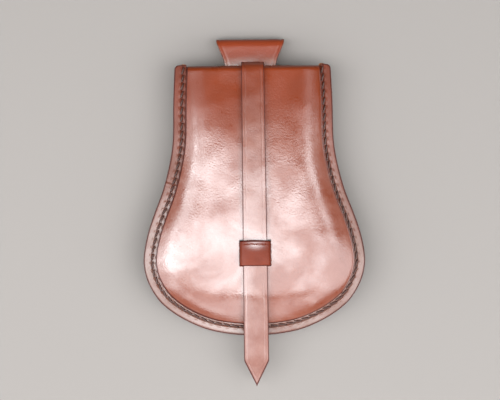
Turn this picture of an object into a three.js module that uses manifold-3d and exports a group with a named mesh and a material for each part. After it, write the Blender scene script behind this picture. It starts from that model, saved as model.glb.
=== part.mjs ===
// A leather belt pouch that lies on its back, closed by a flap and a strap.
// Millimetres. X runs across it, Y towards its top and Z up, out of its front.
// X = 0 is the body's middle, Y = 0 the middle of the whole length, Z = 0 the surface below.
import * as THREE from "three";
import { mergeVertices } from "three/addons/utils/BufferGeometryUtils.js";
import Module from "manifold-3d";

const { lerp, clamp, smoothstep } = THREE.MathUtils;

// Leather
const bodyLeather = 2.4;
const strapLeather = 2.4;
const keeperLeather = 2;
const loopLeather = 2.2;
const gap = 0.3; // between two pieces that touch

// Body
const bodyLength = 203.2; // from the ears beside the fold to the round bottom
const bellyWidth = 166;
const margin = 8.8; // the stitched edge that shows round the flap
const earRadius = 3.4;
const frontRise = 9; // how far the front's fullest place stands above the margin
const mouthRise = 5.2; // how far the front stands off the back at the pocket's mouth
const mouthDrop = 8; // the pocket's mouth lies this far below the ears
const fullestShare = 0.7; // where the front is fullest, as a share of the flap's length
const flatBackShare = 0.38; // how much of that length the back stays flat behind
const sideCrown = 6; // the higher, the nearer to its side seams the front stays flat
const baseCrown = 5; // the same towards its round bottom
const backCrown = 2.5; // the same of the back, all round

// Flap
const foldDrop = 1; // its fold lies this far below the ears
const foldRadius = 1.5; // inside the fold
const flapShift = 0.8; // it was cut this far to the right of the middle

// Closing strap
const strapTopWidth = 17;
const strapEndWidth = 18.8;
const strapLean = 1.1; // its tip lies this far to the right of the middle
const strapBelow = 38.6; // what hangs out below the body
const strapBehind = 55; // what is sewn down behind the body
const pointLength = 19.5;
const tipHeight = 9; // of the tip's underside over the surface

// Keeper
const keeperWidth = 23;
const keeperLength = 18.4;
const keeperBow = 0.8; // how far its upper edge is bowed
const keeperBulge = 1; // how far its face bulges over the strap
const keeperCorner = 3; // radius of its bends
const keeperDown = 141.2; // its middle below the ears
const slitSlack = 1; // how much longer each slit is above the keeper

// Belt loop
const loopTopWidth = 52.5;
const loopAbove = 19.9; // what stands out above the ears
const loopLength = 70;
const loopShift = -1.6; // it sits this far to the right of the middle
const loopNeck = 24; // from its wide top to its narrow part
const beltSpace = 6; // room for the belt's thickness
const beltDrop = 48; // from the loop's top to where its layers start to meet
const meetLength = 10; // over which its layers come together

// The outline's sections: how far down, and how wide, as shares of bodyLength and of bellyWidth
const outlineSections = [
  { down: 0, wide: 0.704 },
  { down: 0.131, wide: 0.719 },
  { down: 0.286, wide: 0.728 },
  { down: 0.375, wide: 0.764 },
  { down: 0.463, wide: 0.822 },
  { down: 0.552, wide: 0.904 },
  { down: 0.618, wide: 0.958 },
  { down: 0.685, wide: 0.993 },
  { down: 0.735, wide: 1 },
  { down: 0.795, wide: 0.967 },
  { down: 0.862, wide: 0.876 },
  { down: 0.906, wide: 0.764 },
  { down: 0.95, wide: 0.587 },
  { down: 0.983, wide: 0.37 },
  { down: 1, wide: 0 },
];

// The belt loop's sections: how far down its neck, and how wide, as shares of loopNeck and loopTopWidth
const loopSections = [
  { down: 0, wide: 1 },
  { down: 0.16, wide: 0.96 },
  { down: 0.31, wide: 0.905 },
  { down: 0.47, wide: 0.84 },
  { down: 0.63, wide: 0.785 },
  { down: 0.81, wide: 0.75 },
  { down: 1, wide: 0.735 },
];

// Places that follow from the sizes
const wholeLength = loopAbove + bodyLength + strapBelow;
const loopTop = wholeLength / 2;
const earTop = loopTop - loopAbove;
const bodyBottom = earTop - bodyLength;
const foldReach = foldRadius + bodyLeather;
const foldLine = earTop - foldDrop - foldReach; // where the flat back turns into the fold
const mouth = earTop - mouthDrop;
const strapTip = bodyBottom - strapBelow;
const strapBackEnd = earTop - strapBehind;
const keeperMiddle = earTop - keeperDown;
const keeperLean = leanAt(keeperMiddle);
const loopFront = 2 * loopLeather + beltSpace; // height of the loop's upper layer
const backHeight = loopFront + gap + strapLeather + gap; // underside of the flat back
const frontMargin = backHeight + bodyLeather + gap + bodyLeather; // face of the stitched margin
const flapSlack = keeperLeather + 4 * gap; // the flap stands off the front by this for the keeper

// How finely the curved faces are divided
const outlineSteps = 30;
const acrossSteps = 10;
const columnCrowding = 1.4; // above 1, columns lie closer together towards the edge
const foldSteps = 6;
const strapStep = 4;
const cornerSteps = 3;

function leanAt(y) {
  const down = clamp((earTop - y) / (earTop - strapTip), 0, 1);
  return strapLean * down;
}

function wideAt(sections, down) {
  const i = clamp(sections.filter((row) => row.down < down).length, 1, sections.length - 1);
  const [a, b] = [sections[i - 1], sections[i]];
  return lerp(a.wide, b.wide, clamp((down - a.down) / (b.down - a.down), 0, 1));
}

// The body's outline, from the right ear round the bottom to the left ear
const rightSide = outlineSections.map(
  ({ down, wide }) => new THREE.Vector3((wide * bellyWidth) / 2, earTop - down * bodyLength, 0),
);
const leftSide = rightSide
  .slice(0, -1)
  .reverse()
  .map((p) => new THREE.Vector3(-p.x, p.y, 0));
const outline = new THREE.CatmullRomCurve3([...rightSide, ...leftSide], false, "centripetal");
outline.arcLengthDivisions = 800;

// Points of the outline's right half from the height fromY down, moved inwards by inset
function halfOutline(inset, fromY, steps) {
  const fine = 400;
  const points = [];
  for (let k = 0; k <= fine; k++) {
    const share = (0.5 * k) / fine;
    const point = outline.getPointAt(share);
    const along = outline.getTangentAt(share);
    points.push(new THREE.Vector2(point.x + along.y * inset, point.y - along.x * inset));
  }
  points[fine].x = 0;
  const below = points.filter((p) => p.y < fromY);
  below.unshift(new THREE.Vector2(below[0].x, fromY));
  return Array.from({ length: steps + 1 }, (_, k) => below[Math.round((k * (below.length - 1)) / steps)]);
}

// How full the pouch is at a place: 0 at the seam, 1 at the fullest place
const seamLine = halfOutline(margin, earTop, 200);
const seamBottom = seamLine.at(-1).y;

function seamHalfWidth(y) {
  const i = clamp(seamLine.filter((p) => p.y > y).length, 1, seamLine.length - 1);
  const [a, b] = [seamLine[i - 1], seamLine[i]];
  return lerp(a.x, b.x, clamp((a.y - y) / (a.y - b.y), 0, 1));
}

const crown = (share, flatness) => (1 - share ** flatness) ** 2;

function crownAcross(x, y, flatness) {
  return crown(Math.min(1, Math.abs(x) / Math.max(seamHalfWidth(y), 1e-6)), flatness);
}

function downShare(y) {
  return clamp((foldLine - y) / (foldLine - seamBottom), 0, 1);
}

function crownBelow(down, flatness) {
  return crown((down - fullestShare) / (1 - fullestShare), flatness);
}

function frontFull(x, y) {
  const down = downShare(y);
  const atMouth = mouthRise / frontRise;
  const above = lerp(atMouth, 1, Math.sin((Math.PI / 2) * Math.min(1, down / fullestShare)));
  return crownAcross(x, y, sideCrown) * (down < fullestShare ? above : crownBelow(down, baseCrown));
}

// The back's fullest place lies flat on the surface below
function backFull(x, y) {
  const down = downShare(y);
  const above = smoothstep(down, flatBackShare, fullestShare);
  const below = down < fullestShare ? above : crownBelow(down, backCrown);
  return 1 - (1 - crownAcross(x, y, backCrown) * below) ** 2;
}

const frontFace = (x, y) => frontMargin + frontRise * frontFull(x, y);
const backFace = (x, y) => backHeight * (1 - backFull(x, y));

// The place that lies above (x, y) of a face, at a distance square to it
function offFace(face, x, y, distance) {
  const reach = 0.5;
  const slopeX = (face(x + reach, y) - face(x - reach, y)) / (2 * reach);
  const slopeY = (face(x, y + reach) - face(x, y - reach)) / (2 * reach);
  const square = new THREE.Vector3(-slopeX, -slopeY, 1).normalize();
  return new THREE.Vector3(x, y, face(x, y)).addScaledVector(square, distance);
}

// The flap's underside lies on the front at the seam, and soon stands off it further in
const flapStandOff = (x, y) => 2 * gap + flapSlack * Math.cbrt(frontFull(x, y));
const flapPair = (x, y) => {
  const under = flapStandOff(x, y);
  return [offFace(frontFace, x, y, under + bodyLeather), offFace(frontFace, x, y, under)];
};

// Rows of places across a panel, from its top down. The lower rows fan out from the belly.
function panelRows(edge, firstColumn, shift, placePair) {
  const spineShare = 0.66;
  const top = edge[0].y;
  return edge.map((end) => {
    const spineY = lerp(top, end.y, spineShare);
    const width = Math.hypot(end.x, end.y - spineY);
    const first = Math.min(firstColumn / width, 1 / acrossSteps);
    const row = [];
    for (let c = -acrossSteps; c <= acrossSteps; c++) {
      const inwards = acrossSteps - Math.abs(c);
      const even = (inwards - 1) / (acrossSteps - 1);
      const share = inwards === 0 ? 0 : lerp(first, 1, even ** columnCrowding);
      row.push(placePair(shift + Math.sign(c) * lerp(end.x, 0, share), lerp(end.y, spineY, share)));
    }
    return row;
  });
}

// A closed solid between two faces, given as rows of pairs of places. Places that coincide are
// joined, and each open edge gets a wall. The first of each pair lies on the side that faces up
// where the rows run down and their places run to the right.
function solidBetween(rows) {
  const ids = new Map();
  const firsts = [];
  const seconds = [];
  const idOf = ([first, second]) => {
    const key = [...first, ...second].map((v) => Math.round(v * 1e4)).join();
    if (!ids.has(key)) {
      ids.set(key, firsts.length);
      firsts.push(first);
      seconds.push(second);
    }
    return ids.get(key);
  };
  const grid = rows.map((row) => row.map(idOf));
  const faces = [];
  for (let i = 1; i < grid.length; i++)
    for (let j = 1; j < grid[i].length; j++) {
      const [a, b] = [grid[i - 1][j - 1], grid[i - 1][j]];
      const [d, c] = [grid[i][j - 1], grid[i][j]];
      faces.push([a, d, c], [a, c, b]);
    }
  const whole = faces.filter(([a, b, c]) => a !== b && b !== c && c !== a);
  const edges = new Set();
  for (const [a, b, c] of whole) for (const edge of [[a, b], [b, c], [c, a]]) edges.add(edge.join());
  const n = firsts.length;
  const index = [];
  for (const [a, b, c] of whole) index.push(a, b, c, n + c, n + b, n + a);
  for (const edge of edges) {
    const [a, b] = edge.split(",").map(Number);
    if (!edges.has([b, a].join())) index.push(b, a, n + a, b, n + a, n + b);
  }
  const geometry = new THREE.BufferGeometry();
  const positions = [...firsts, ...seconds].flatMap((p) => [...p]);
  geometry.setAttribute("position", new THREE.Float32BufferAttribute(positions, 3));
  geometry.setIndex(index);
  return geometry;
}

// Rows of a strip that follows points of (y, z), its skins lying at two distances from them
function stripRows(path, outwards, inwards, centreAt, halfAt) {
  return path.map((point, i) => {
    const before = path[Math.max(i - 1, 0)];
    const after = path[Math.min(i + 1, path.length - 1)];
    const along = new THREE.Vector2().subVectors(after, before).normalize();
    const out = new THREE.Vector2(along.y, -along.x);
    const [first, second] = [outwards, inwards].map((d) => out.clone().multiplyScalar(d).add(point));
    return [-1, 1].map((side) => {
      const x = centreAt(point.x) + side * halfAt(point.x);
      return [first, second].map((p) => new THREE.Vector3(x, p.x, p.y));
    });
  });
}

// Booleans
const wasm = await Module();
wasm.setup();

function toSolid(geometry) {
  const bare = geometry.clone();
  bare.deleteAttribute("normal");
  bare.deleteAttribute("uv");
  const merged = mergeVertices(bare, 1e-4);
  const vertProperties = new Float32Array(merged.attributes.position.array);
  const triVerts = new Uint32Array(merged.index.array);
  return new wasm.Manifold(new wasm.Mesh({ numProp: 3, vertProperties, triVerts }));
}

function toGeometry(solid) {
  const { vertProperties, triVerts } = solid.getMesh();
  const geometry = new THREE.BufferGeometry();
  geometry.setAttribute("position", new THREE.BufferAttribute(vertProperties, 3));
  geometry.setIndex(new THREE.BufferAttribute(triVerts, 1));
  return geometry;
}

// A box between two corners
function block(low, high) {
  const size = new THREE.Vector3().subVectors(high, low);
  const middle = new THREE.Vector3().addVectors(low, high).multiplyScalar(0.5);
  return toSolid(new THREE.BoxGeometry(...size).translate(...middle));
}

// The outline of the whole body, with its ears rounded
function bodyEdge() {
  const side = halfOutline(0, earTop - earRadius, outlineSteps);
  const ear = [];
  for (let k = 0; k < cornerSteps; k++) {
    const angle = ((Math.PI / 2) * k) / cornerSteps;
    const inset = earRadius * (1 - Math.sin(angle));
    ear.push(new THREE.Vector2(side[0].x - inset, side[0].y + earRadius * Math.cos(angle)));
  }
  return [...ear, ...side];
}

const flapEdge = halfOutline(margin, foldLine, outlineSteps);
const flapHalf = flapEdge[0].x;

// Room between the ears for the fold, from a height up
function betweenEars(fromY) {
  const half = flapHalf + 2 * gap;
  return block(
    new THREE.Vector3(flapShift - half, fromY, -1),
    new THREE.Vector3(flapShift + half, earTop + 1, frontMargin + frontRise),
  );
}

function frontPanel() {
  const pair = (x, y) => [offFace(frontFace, x, y, 0), offFace(frontFace, x, y, -bodyLeather)];
  const panel = toSolid(solidBetween(panelRows(bodyEdge(), margin, 0, pair)));
  return toGeometry(panel.subtract(betweenEars(mouth)));
}

// The fold turns the flat back over into the flap
const flapRows = panelRows(flapEdge, Infinity, flapShift, flapPair);

function foldRows() {
  const rows = [];
  for (let k = 0; k < foldSteps; k++) {
    const angle = (Math.PI * k) / foldSteps;
    const share = (1 - Math.cos(angle)) / 2;
    rows.push(
      flapRows[0].map((flapEnds) =>
        flapEnds.map((end, skin) => {
          const start = new THREE.Vector3(end.x, foldLine, backHeight + skin * bodyLeather);
          const reach = foldRadius + (1 - skin) * bodyLeather;
          const place = start.lerp(end, share);
          place.y += reach * Math.sin(angle);
          return place;
        }),
      ),
    );
  }
  return rows;
}

// A slit in the flap, square to it, with room round the keeper's leg at that side
function keeperSlit(side) {
  const middle = keeperLean + side * (keeperWidth / 2 - keeperLeather / 2);
  const half = keeperLeather / 2 + gap;
  const ends = [keeperMiddle + keeperLength / 2 + slitSlack, keeperMiddle - keeperLength / 2 - gap];
  const through = [0, flapStandOff(middle, keeperMiddle) + 2 * bodyLeather];
  return toSolid(
    solidBetween(
      through.map((distance) =>
        ends.map((y) => [middle + half, middle - half].map((x) => offFace(frontFace, x, y, distance))),
      ),
    ),
  );
}

function backAndFlap() {
  const pair = (x, y) => [offFace(backFace, x, y, bodyLeather), offFace(backFace, x, y, 0)];
  const panel = toSolid(solidBetween(panelRows(bodyEdge(), margin, 0, pair)));
  const back = panel.subtract(betweenEars(foldLine));
  const turn = foldRows();
  const root = turn[0].map((ends) => ends.map((end) => end.clone().setY(foldLine - bodyLeather)));
  const flap = toSolid(solidBetween([root, ...turn, ...flapRows]));
  return toGeometry(back.add(flap.subtract(keeperSlit(-1)).subtract(keeperSlit(1))));
}

// What the strap's underside touches: the back, the fold, the high places of the front, and the
// straight way from there to its free tip
function strapPath() {
  const path = [];
  const behind = Math.ceil((foldLine - strapBackEnd) / strapStep);
  for (let k = 0; k < behind; k++)
    path.push(new THREE.Vector2(lerp(strapBackEnd, foldLine, k / behind), backHeight));
  for (const row of foldRows()) path.push(new THREE.Vector2(row[acrossSteps][0].y, row[acrossSteps][0].z));
  const front = [];
  const steps = Math.ceil((foldLine - seamBottom) / strapStep);
  for (let k = 0; k <= steps; k++) {
    const place = flapPair(0, lerp(foldLine, seamBottom, k / steps))[0];
    front.push(new THREE.Vector2(place.y, place.z));
  }
  front.push(new THREE.Vector2(bodyBottom, frontMargin), new THREE.Vector2(strapTip, tipHeight));
  const taut = [];
  for (const p of front) {
    while (taut.length > 1) {
      const [a, b] = taut.slice(-2);
      const turn = (b.x - a.x) * (p.y - a.y) - (b.y - a.y) * (p.x - a.x);
      if (turn > 0) break;
      taut.pop();
    }
    taut.push(p);
  }
  const last = taut.pop();
  const edge = taut.at(-1);
  const hang = new THREE.Vector2().subVectors(last, edge).normalize();
  last.x -= hang.y * (gap + strapLeather); // so that its outer skin ends at the tip
  const free = Math.ceil((edge.x - last.x) / strapStep);
  const shoulder = (edge.x - (last.x + pointLength)) / (edge.x - last.x);
  const shares = Array.from({ length: free }, (_, k) => (k + 1) / free);
  const ends = [...shares, shoulder].sort((a, b) => a - b);
  return [...path, ...taut, ...ends.map((share) => edge.clone().lerp(last, share))];
}

function closingStrap() {
  const path = strapPath();
  const tip = path.at(-1).x;
  const halfAt = (y) => {
    const down = clamp((earTop - y) / (earTop - tip), 0, 1);
    const width = lerp(strapTopWidth, strapEndWidth, down);
    return (width / 2) * clamp((y - tip) / pointLength, 0, 1);
  };
  return solidBetween(stripRows(path, gap + strapLeather, gap, leanAt, halfAt));
}

// One skin of the keeper's section, as places across the pouch and off the front's face. The
// section is a rounded rectangle that bulges over the strap.
function keeperSkin(inset) {
  const strapTop = flapStandOff(0, keeperMiddle) + bodyLeather + gap + strapLeather;
  const low = 2 * gap + inset;
  const high = strapTop + 2 * gap + keeperLeather - inset;
  const half = keeperWidth / 2 - inset;
  const radius = keeperCorner - inset;
  const bulge = (across) => keeperBulge * (1 - (across / half) ** 2);
  const corner = (side, up, from) =>
    Array.from({ length: cornerSteps + 1 }, (_, k) => {
      const angle = from + ((Math.PI / 2) * k) / cornerSteps;
      const across = side * (half - radius) + radius * Math.cos(angle);
      const base = up > 0 ? high - radius + bulge(across) : low + radius;
      return [across, base + radius * Math.sin(angle)];
    });
  const over = [0.6, 0.3, 0, -0.3, -0.6].map((share) => [share * half, high + bulge(share * half)]);
  const section = [
    ...corner(1, 1, 0),
    ...over,
    ...corner(-1, 1, Math.PI / 2),
    ...corner(-1, -1, Math.PI),
    ...corner(1, -1, (3 * Math.PI) / 2),
  ];
  return [...section, section[0]];
}

// The keeper is a band through both slits and round behind the flap
function keeper() {
  const outside = keeperSkin(0);
  const inside = keeperSkin(keeperLeather);
  const ends = [1, 0.5, 0, -0.5, -1];
  return solidBetween(
    outside.map((_, k) =>
      ends.map((end) =>
        [outside[k], inside[k]].map(([across, up]) => {
          const bow = keeperBow * Math.max(end, 0) * (1 - (across / (keeperWidth / 2)) ** 2);
          const y = keeperMiddle + (end * keeperLength) / 2 + bow;
          return offFace(frontFace, keeperLean + across, y, up);
        }),
      ),
    ),
  );
}

// The belt loop's middle line, from its sewn lower end up, over and down behind the belt
function loopPath() {
  const upper = loopFront - loopLeather / 2;
  const lower = loopLeather / 2;
  const radius = (upper - lower) / 2;
  const turnY = loopTop - radius - lower;
  const joined = upper - loopLeather - gap;
  const path = [];
  const legSteps = 12;
  const lowEnd = loopTop - loopLength;
  for (let k = 0; k < legSteps; k++)
    path.push(new THREE.Vector2(lerp(lowEnd, turnY, k / legSteps), upper));
  for (let k = 0; k <= foldSteps; k++) {
    const angle = (Math.PI * k) / foldSteps;
    path.push(new THREE.Vector2(turnY + radius * Math.sin(angle), lower + radius * (1 + Math.cos(angle))));
  }
  const meetY = loopTop - beltDrop;
  for (let k = 1; k <= legSteps; k++)
    path.push(new THREE.Vector2(lerp(turnY, meetY, k / legSteps), lower));
  for (let k = 1; k <= foldSteps; k++) {
    const share = k / foldSteps;
    path.push(
      new THREE.Vector2(meetY - meetLength * share, lerp(lower, joined, smoothstep(share, 0, 1))),
    );
  }
  path.push(new THREE.Vector2(lowEnd, joined));
  return path;
}

function beltLoop() {
  const half = loopLeather / 2;
  const halfAt = (y) => (wideAt(loopSections, (loopTop - y) / loopNeck) * loopTopWidth) / 2;
  return solidBetween(stripRows(loopPath(), half, -half, () => loopShift, halfAt));
}

// The pieces
const pouch = new THREE.Group();

function addPiece(name, geometry, color, roughness) {
  geometry.computeVertexNormals();
  const material = new THREE.MeshStandardMaterial({ color, roughness, metalness: 0 });
  const mesh = new THREE.Mesh(geometry, material);
  mesh.name = name;
  pouch.add(mesh);
}

addPiece("back_and_flap", backAndFlap(), "#a54b2d", 0.35);
addPiece("front_panel", frontPanel(), "#80432f", 0.5);
addPiece("closing_strap", closingStrap(), "#b0563a", 0.4);
addPiece("keeper", keeper(), "#8c3e28", 0.3);
addPiece("belt_loop", beltLoop(), "#a24a26", 0.4);

export default pouch;
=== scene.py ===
"""The looks of a leather belt pouch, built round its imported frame.

Lengths in the tables and in the shape functions are millimetres, and MM turns them into metres.
"""
import bisect
import math

import bmesh
import bpy
from mathutils import Matrix, Vector, kdtree, noise


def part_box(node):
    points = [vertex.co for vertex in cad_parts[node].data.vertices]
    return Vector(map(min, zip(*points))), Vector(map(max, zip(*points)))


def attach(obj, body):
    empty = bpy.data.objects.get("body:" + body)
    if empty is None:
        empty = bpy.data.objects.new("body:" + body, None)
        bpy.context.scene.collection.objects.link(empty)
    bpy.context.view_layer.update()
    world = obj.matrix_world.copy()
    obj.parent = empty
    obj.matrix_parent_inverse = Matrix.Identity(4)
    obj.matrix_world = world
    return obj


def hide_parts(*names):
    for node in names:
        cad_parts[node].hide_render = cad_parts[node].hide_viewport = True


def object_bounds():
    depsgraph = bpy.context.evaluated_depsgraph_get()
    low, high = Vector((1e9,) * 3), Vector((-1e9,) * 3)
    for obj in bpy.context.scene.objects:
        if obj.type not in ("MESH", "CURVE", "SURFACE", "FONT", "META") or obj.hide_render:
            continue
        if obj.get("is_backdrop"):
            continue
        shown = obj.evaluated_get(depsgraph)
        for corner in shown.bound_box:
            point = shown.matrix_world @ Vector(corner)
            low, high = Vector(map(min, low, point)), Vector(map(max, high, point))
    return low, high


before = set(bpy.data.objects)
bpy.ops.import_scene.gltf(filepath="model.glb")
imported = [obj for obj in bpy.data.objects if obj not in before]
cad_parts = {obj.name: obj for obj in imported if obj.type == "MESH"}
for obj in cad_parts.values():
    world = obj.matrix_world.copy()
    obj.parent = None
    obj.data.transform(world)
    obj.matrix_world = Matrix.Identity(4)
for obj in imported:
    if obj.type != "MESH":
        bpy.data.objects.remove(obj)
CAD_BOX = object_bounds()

bl_info = {
    "name": "Leather Belt Pouch",
    "version": (1, 0, 0),
    "blender": (4, 5, 0),
    "location": "3D View > Sidebar > Pouch",
    "description": "Builds a saddle-stitched leather belt pouch round its packed frame",
    "category": "Add Mesh",
}

MM = 0.001


def box_mm(node):
    """A frame node's lowest and highest corners, in millimetres."""
    low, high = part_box(node)
    return Vector(low) / MM, Vector(high) / MM


# Sizes that the frame gives
FRONT_LOW, FRONT_HIGH = box_mm("front_panel")
STRAP_LOW, _ = box_mm("closing_strap")
KEEPER_LOW, KEEPER_HIGH = box_mm("keeper")
LOOP_LOW, LOOP_HIGH = box_mm("belt_loop")

# Sizes that the frame's boxes don't show
GAP = 0.3
BODY_LEATHER = 2.4
STRAP_LEATHER = 2.4
KEEPER_LEATHER = 2.0
LOOP_LEATHER = 2.2
MARGIN = 8.8
EAR_RADIUS = 3.4
MOUTH_RISE = 5.2
MOUTH_DROP = 8.0
FULLEST_SHARE = 0.7
FLAT_BACK_SHARE = 0.38
SIDE_CROWN = 6
BASE_CROWN = 5
BACK_CROWN = 2.5
FOLD_DROP = 1.0
FOLD_RADIUS = 1.5
FLAP_SHIFT = 0.8
STRAP_TOP_WIDTH = 17.0
STRAP_END_WIDTH = 18.8
STRAP_BEHIND = 55.0
POINT_LENGTH = 19.5
TIP_HEIGHT = 9.0
STRAP_LEAN = 1.1
KEEPER_WIDTH = 23.0
KEEPER_LENGTH = 18.4
KEEPER_BOW = 0.8
KEEPER_BULGE = 1.0
KEEPER_CORNER = 3.0
SLIT_SLACK = 1.0
LOOP_NECK = 24.0
BELT_DROP = 48.0
MEET_LENGTH = 10.0

# Places that follow
EAR_TOP = FRONT_HIGH.y
BODY_BOTTOM = FRONT_LOW.y
FRONT_MARGIN = FRONT_LOW.z + BODY_LEATHER
FRONT_RISE = FRONT_HIGH.z - FRONT_MARGIN
BACK_HEIGHT = FRONT_MARGIN - 2 * BODY_LEATHER - GAP
FOLD_LINE = EAR_TOP - FOLD_DROP - FOLD_RADIUS - BODY_LEATHER
MOUTH = EAR_TOP - MOUTH_DROP
FLAP_SLACK = KEEPER_LEATHER + 4 * GAP
KEEPER_MIDDLE = (KEEPER_LOW.y + KEEPER_HIGH.y - KEEPER_BOW) / 2

# A fold between two faces that is sharp, in radians
SHARP_ANGLE = 1.0

# The outline's sections: how far down, and how wide, as shares of the body's length and width
OUTLINE = (
    (0, 0.704),
    (0.131, 0.719),
    (0.286, 0.728),
    (0.375, 0.764),
    (0.463, 0.822),
    (0.552, 0.904),
    (0.618, 0.958),
    (0.685, 0.993),
    (0.735, 1),
    (0.795, 0.967),
    (0.862, 0.876),
    (0.906, 0.764),
    (0.95, 0.587),
    (0.983, 0.37),
    (1, 0),
)

# The belt loop's sections: how far down its neck, and how wide, as shares of its neck and top
LOOP_SECTIONS = (
    (0, 1),
    (0.16, 0.96),
    (0.31, 0.905),
    (0.47, 0.84),
    (0.63, 0.785),
    (0.81, 0.75),
    (1, 0.735),
)

# How far in from the edge a panel's outer columns lie: closest where it is burnished and stitched
FINE_COLUMNS = (
    0, 1.2, 1.6, 2.0, 2.5, 3.0, 3.5, 4.0, 4.5, 4.9,
    5.3, 5.7, 6.05, 6.4, 6.75, 7.1, 7.5, 7.9, 8.4, 9.2,
)
PLAIN_COLUMNS = (0, 0.8, 1.6, 3.0)

# How finely each piece is divided
BODY_ROWS = 380
BODY_MIDDLE_COLUMNS = 9
FLAP_ROWS = 200
FLAP_MIDDLE_COLUMNS = 30
FOLD_ROWS = 16
STRAP_COLUMNS = 44
STRAP_STEP = 1.4
STRAP_FRONT_STEPS = 100
KEEPER_COLUMNS = 26
LOOP_COLUMNS = 46
LOOP_BENDS = 12

# A distance from the cut edge that lies beyond any burnishing
UNCUT = 9

# Roundings of the cut edges that the user can't change
FLAP_ROUNDING = 0.6
STRIP_ROUNDING = 0.4
KEEPER_ROUNDING = 0.45

# The sewing, in millimetres and shares. Each puff of leather between two holes has a height,
# a place off the row and a width
FIRST_HOLE = 1.2
STITCH_SLANT = 0.95
THREAD_FLATNESS = 0.9
THREAD_SUNK = 0.12
GROOVE_DEPTH, GROOVE_WIDTH = 0.55, 0.8
HOLE_DEPTH, HOLE_WIDTH = 0.5, 0.9
PUFFS = ((0.42, -1.8, 0.7), (0.4, 1.6, 0.6))
GROOVE_DARKNESS = 0.4
LOOP_STITCH_INSET = 4.0

# The rubbed outer edge of a margin, and the small crease across the front's left one
EDGE_FALL, EDGE_FALL_REACH = 0.55, 2.4
NICK_PLACE, NICK_SLOPE = (-62, 23), 0.3
NICK_DEPTH, NICK_WIDTH = 0.45, 0.7
NICK_RIDGE, NICK_RIDGE_BELOW = 0.2, 1.5

# How strongly the keeper is polished, how far above its middle as a share of its length, and
# how wide and high the spot is
POLISH = 0.9
POLISH_PLACE = 0.36
POLISH_WIDTH, POLISH_HEIGHT = 5.5, 2.8

# The camera stands where the photograph's frame puts it
PIXEL = 0.75  # mm in the plane of the stitched margin
BODY_MIDDLE_PX = 253.8
FRAME_MIDDLE_PX = (250, 200)
LENGTH_MIDDLE_PX = 212.5
FRAME_WIDTH_PX = 500
CAMERA_DISTANCE = 1500.0
CAMERA_LEAN = -0.55  # degrees

# The light, in metres, watts and degrees: each softbox's place, size, power, target and turn
FLOOR_HALF = 4
WORLD_STRENGTH = 0.12
LIGHT_COLOUR = (0.93, 0.975, 1)
SOFTBOXES = {
    "overhead softbox": ((-0.65, -0.2, 1.35), (3.1, 0.84), 50, (-0.65, -0.2, 0), -3),
    "left softbox": ((-1.9, -0.35, 0.75), (1.5, 1.5), 24, (0, -0.03, 0), 0),
    "right softbox": ((1.5, -0.4, 1.15), (1.3, 1.4), 32, (0, -0.03, 0), 0),
    "front softbox": ((-0.3, -1.3, 1.15), (1.6, 1.1), 13, (0, -0.05, 0), 0),
    "front right softbox": ((0.95, -1.15, 1.15), (1.0, 1.0), 12, (0, -0.05, 0), 0),
    "front left softbox": ((-1.4, -1.1, 1.1), (0.9, 0.9), 6, (0, -0.05, 0), 0),
    "left rear softbox": ((-1.5, 0.52, 1.35), (1.4, 0.5), 7, (-1.5, 0.52, 0), 0),
    "right rear softbox": ((1.35, 0.55, 1.3), (1.1, 0.5), 6, (1.2, 0.45, 0), 0),
}


def lerp(a, b, share):
    return a + (b - a) * share


def clamp(value, low=0.0, high=1.0):
    return max(low, min(high, value))


def smooth(value):
    """0 below 0 and 1 above 1, with a smooth way between."""
    value = clamp(value)
    return value * value * (3 - 2 * value)


def hump(value, width):
    """1 where value is 0, fading smoothly away over width."""
    return math.exp(-((value / width) ** 2))


def linear(hex_colour):
    """An sRGB hex colour as linear red, green, blue and alpha."""
    channels = [int(hex_colour[k : k + 2], 16) / 255 for k in (1, 3, 5)]
    return (*(c / 12.92 if c <= 0.04045 else ((c + 0.055) / 1.055) ** 2.4 for c in channels), 1)


def length_prop(name, description, millimetres, low, high):
    return bpy.props.FloatProperty(
        name=name, description=description, default=millimetres * MM,
        min=low * MM, max=high * MM, precision=4, subtype="DISTANCE", unit="LENGTH",
    )


def colour_prop(name, description, hex_colour):
    return bpy.props.FloatVectorProperty(
        name=name, description=description, default=linear(hex_colour),
        size=4, min=0, max=1, subtype="COLOR",
    )


class PouchSizes(bpy.types.PropertyGroup):
    """Sizes of the sewing and the finish, which the frame leaves to the looks"""

    stitch_pitch: length_prop("Stitch pitch", "From one stitch hole to the next", 6.0, 3, 10)
    stitch_inset: length_prop("Stitch inset", "From the outer edge to the stitch row", 6.4, 4, 8)
    thread_width: length_prop("Thread width", "Width of the waxed thread", 1.35, 0.5, 2)
    edge_rounding: length_prop("Edge rounding", "Radius of a burnished edge", 1.0, 0.2, 1.1)
    crease_inset: length_prop("Crease inset", "From a strap's edge to its creased line", 2.6, 1, 5)
    crease_depth: length_prop("Crease depth", "Depth of a creased line", 0.3, 0, 0.8)
    waviness: length_prop("Waviness", "How far the flap's face wanders from its form", 0.35, 0, 1)


class PouchColours(bpy.types.PropertyGroup):
    """Colours of the leather's dye, its edges and the thread"""

    flap: colour_prop("Flap", "Dye of the flap and the back", "#6c2a10")
    margin: colour_prop("Margin", "Dye of the stitched margin", "#652f20")
    strap: colour_prop("Strap", "Dye of the closing strap", "#682b16")
    keeper: colour_prop("Keeper", "Dye of the keeper", "#5c2416")
    loop: colour_prop("Belt loop", "Dye of the belt loop", "#783018")
    edge: colour_prop("Burnished edge", "Edges rubbed with dye and wax", "#3a1009")
    flesh: colour_prop("Flesh side", "The fibrous inner side", "#a0653f")
    thread: colour_prop("Thread", "Waxed linen thread", "#38190f")
    floor: colour_prop("Floor", "Studio paper", "#807a76")


def size_mm(name):
    """One of the sizes that the user may change, in millimetres."""
    return getattr(bpy.context.scene.pouch_sizes, name) / MM


def colour_of(name):
    return getattr(bpy.context.scene.pouch_colours, name)


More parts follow.
